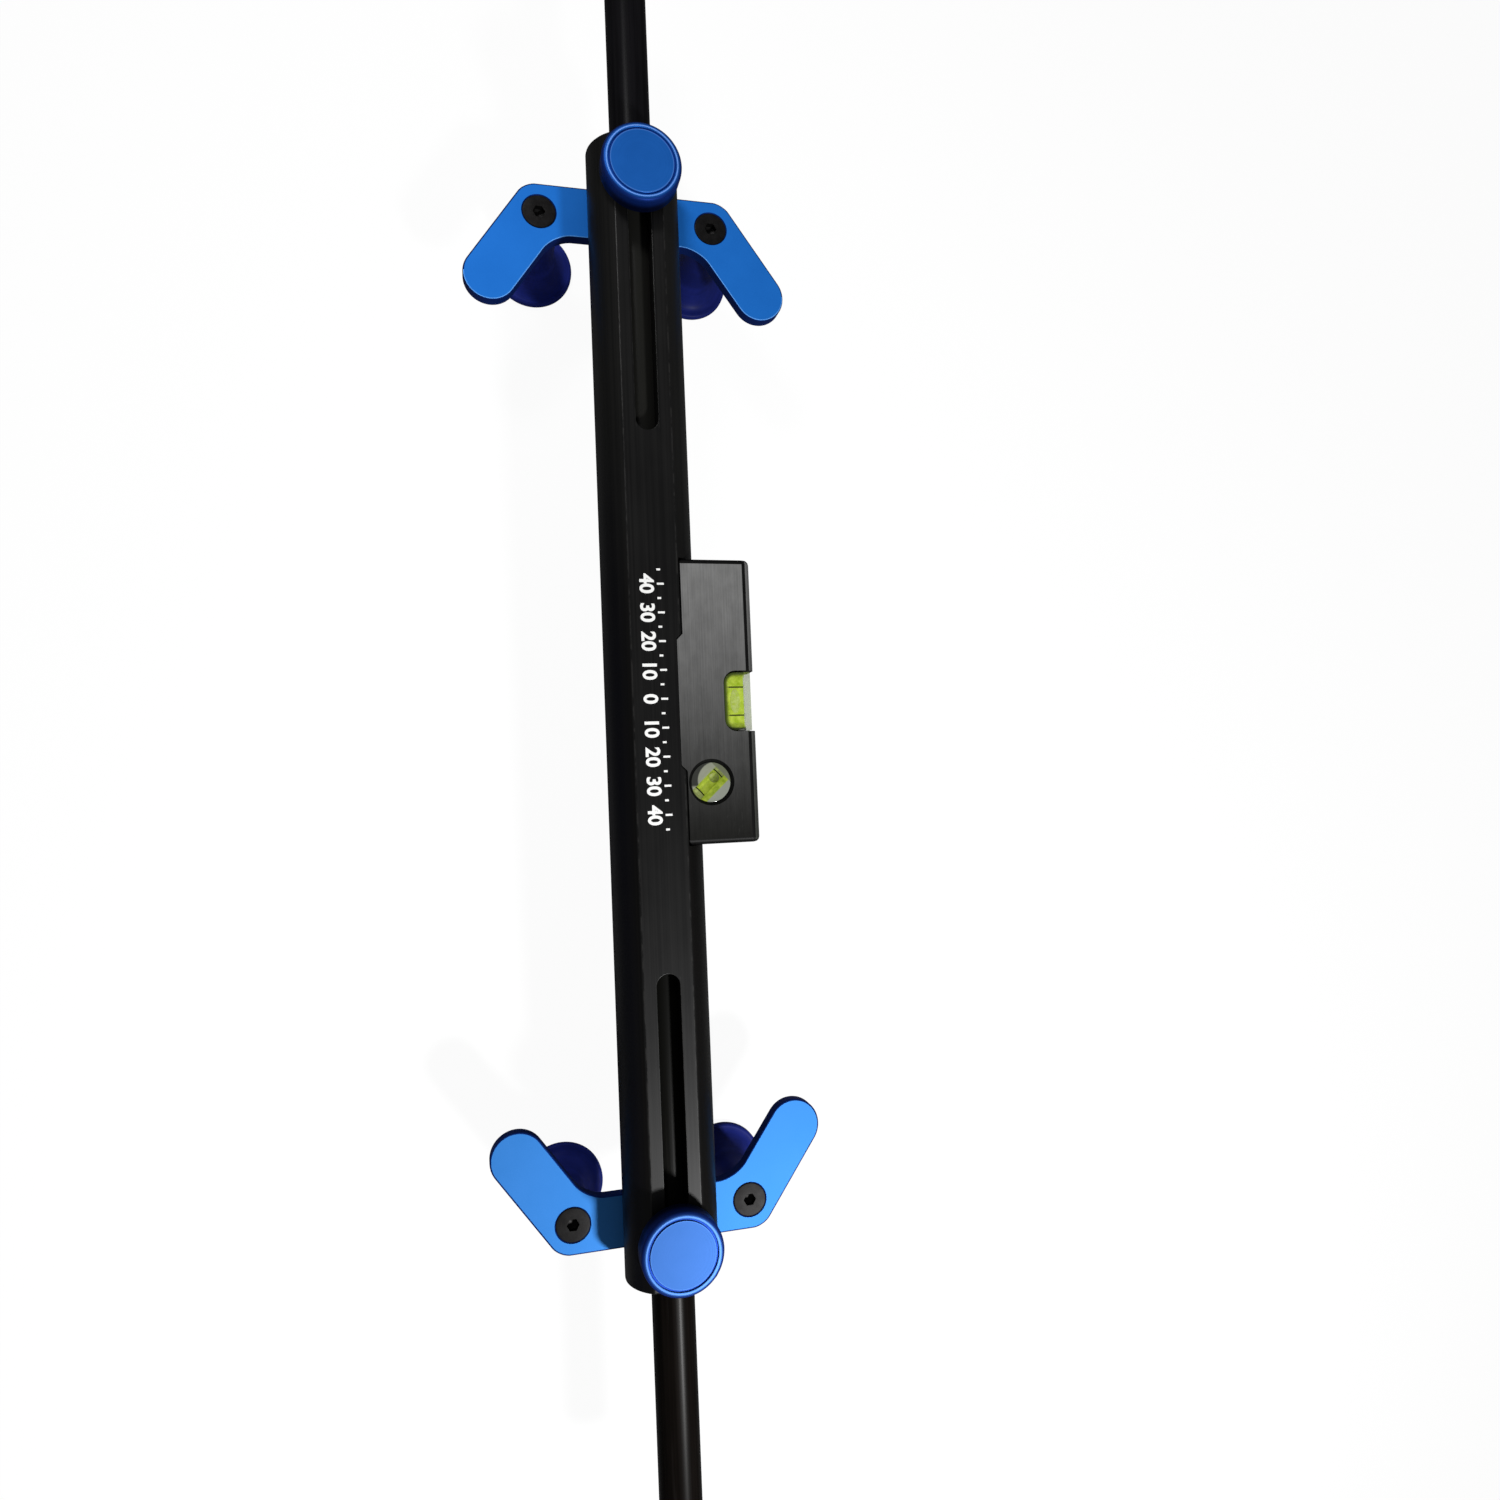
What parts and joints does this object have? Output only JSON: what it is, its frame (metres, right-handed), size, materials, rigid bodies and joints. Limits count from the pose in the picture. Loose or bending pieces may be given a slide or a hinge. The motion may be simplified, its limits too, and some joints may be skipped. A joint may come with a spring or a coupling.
{
  "type": "steering wheel level",
  "caption": "Slotted round bar with a spirit level on one side and, at each end, a sliding bracket with hook posts, clamped by a knob, that grips a steering wheel's rim.",
  "frame": {"origin": "on the plane of the four hook posts' back faces, midway between them, under the middle of the bar", "axes": "+X along the bar (down in the picture), +Y towards the side with the spirit level (right in the picture), +Z out of the front, towards the viewer"},
  "size_m": [0.6006, 0.121, 0.0824],
  "materials": {
    "black_anodised": "black anodised, satin",
    "blue_anodised": "blue anodised, satin",
    "navy_nylon": "moulded, slightly glossy",
    "black_oxide_steel": "black oxide",
    "rod_black": "black anodised, drawn",
    "brass": "turned",
    "zinc_steel": "zinc plated",
    "black_nylon": "moulded",
    "white_nylon": "moulded",
    "brushed_black": "black anodised over a brushed face",
    "clear_acrylic": "clear, polished",
    "vial_liquid": "clear yellow-green liquid"
  },
  "bodies": {
    "bar": {"bar": "black_anodised", "end_bush_left": "black_nylon", "end_bush_right": "black_nylon", "level_body": "brushed_black", "level_screw_left": "black_oxide_steel", "level_screw_right": "black_oxide_steel", "main_vial": "clear_acrylic", "main_vial_liquid": "vial_liquid", "main_vial_lid": "clear_acrylic", "window_vial": "clear_acrylic", "window_vial_liquid": "vial_liquid", "window_vial_plug_left": "white_nylon", "window_vial_plug_right": "white_nylon"},
    "carriage_left": {"bracket_left": "blue_anodised", "rod_left": "rod_black", "rod_cap_left": "black_nylon", "post_left_near": "navy_nylon", "post_left_far": "navy_nylon", "post_insert_left_near": "brass", "post_insert_left_far": "brass", "post_screw_left_near": "black_oxide_steel", "post_screw_left_far": "black_oxide_steel", "clamp_bolt_left": "zinc_steel", "bolt_washer_left": "zinc_steel", "knob_washer_left": "black_nylon"},
    "knob_left": {"clamp_knob_left": "blue_anodised", "knob_insert_left": "brass"},
    "carriage_right": {"bracket_right": "blue_anodised", "rod_right": "rod_black", "rod_cap_right": "black_nylon", "post_right_near": "navy_nylon", "post_right_far": "navy_nylon", "post_insert_right_near": "brass", "post_insert_right_far": "brass", "post_screw_right_near": "black_oxide_steel", "post_screw_right_far": "black_oxide_steel", "clamp_bolt_right": "zinc_steel", "bolt_washer_right": "zinc_steel", "knob_washer_right": "black_nylon"},
    "knob_right": {"clamp_knob_right": "blue_anodised", "knob_insert_right": "brass"}
  },
  "joints": [
    {"name": "slide_left", "type": "slide", "parent": "bar", "child": "carriage_left", "axis": [1, 0, 0], "range_m": [0, 0.082]},
    {"name": "slide_right", "type": "slide", "parent": "bar", "child": "carriage_right", "axis": [-1, 0, 0], "range_m": [0, 0.082]},
    {"name": "knob_turn_left", "type": "hinge", "parent": "carriage_left", "child": "knob_left", "pos_m": [-0.1843, 0, 0.0744], "axis": [0, 0, 1], "range_deg": [0, 540]},
    {"name": "knob_turn_right", "type": "hinge", "parent": "carriage_right", "child": "knob_right", "pos_m": [0.1843, 0, 0.0744], "axis": [0, 0, 1], "range_deg": [0, 540]}
  ]
}
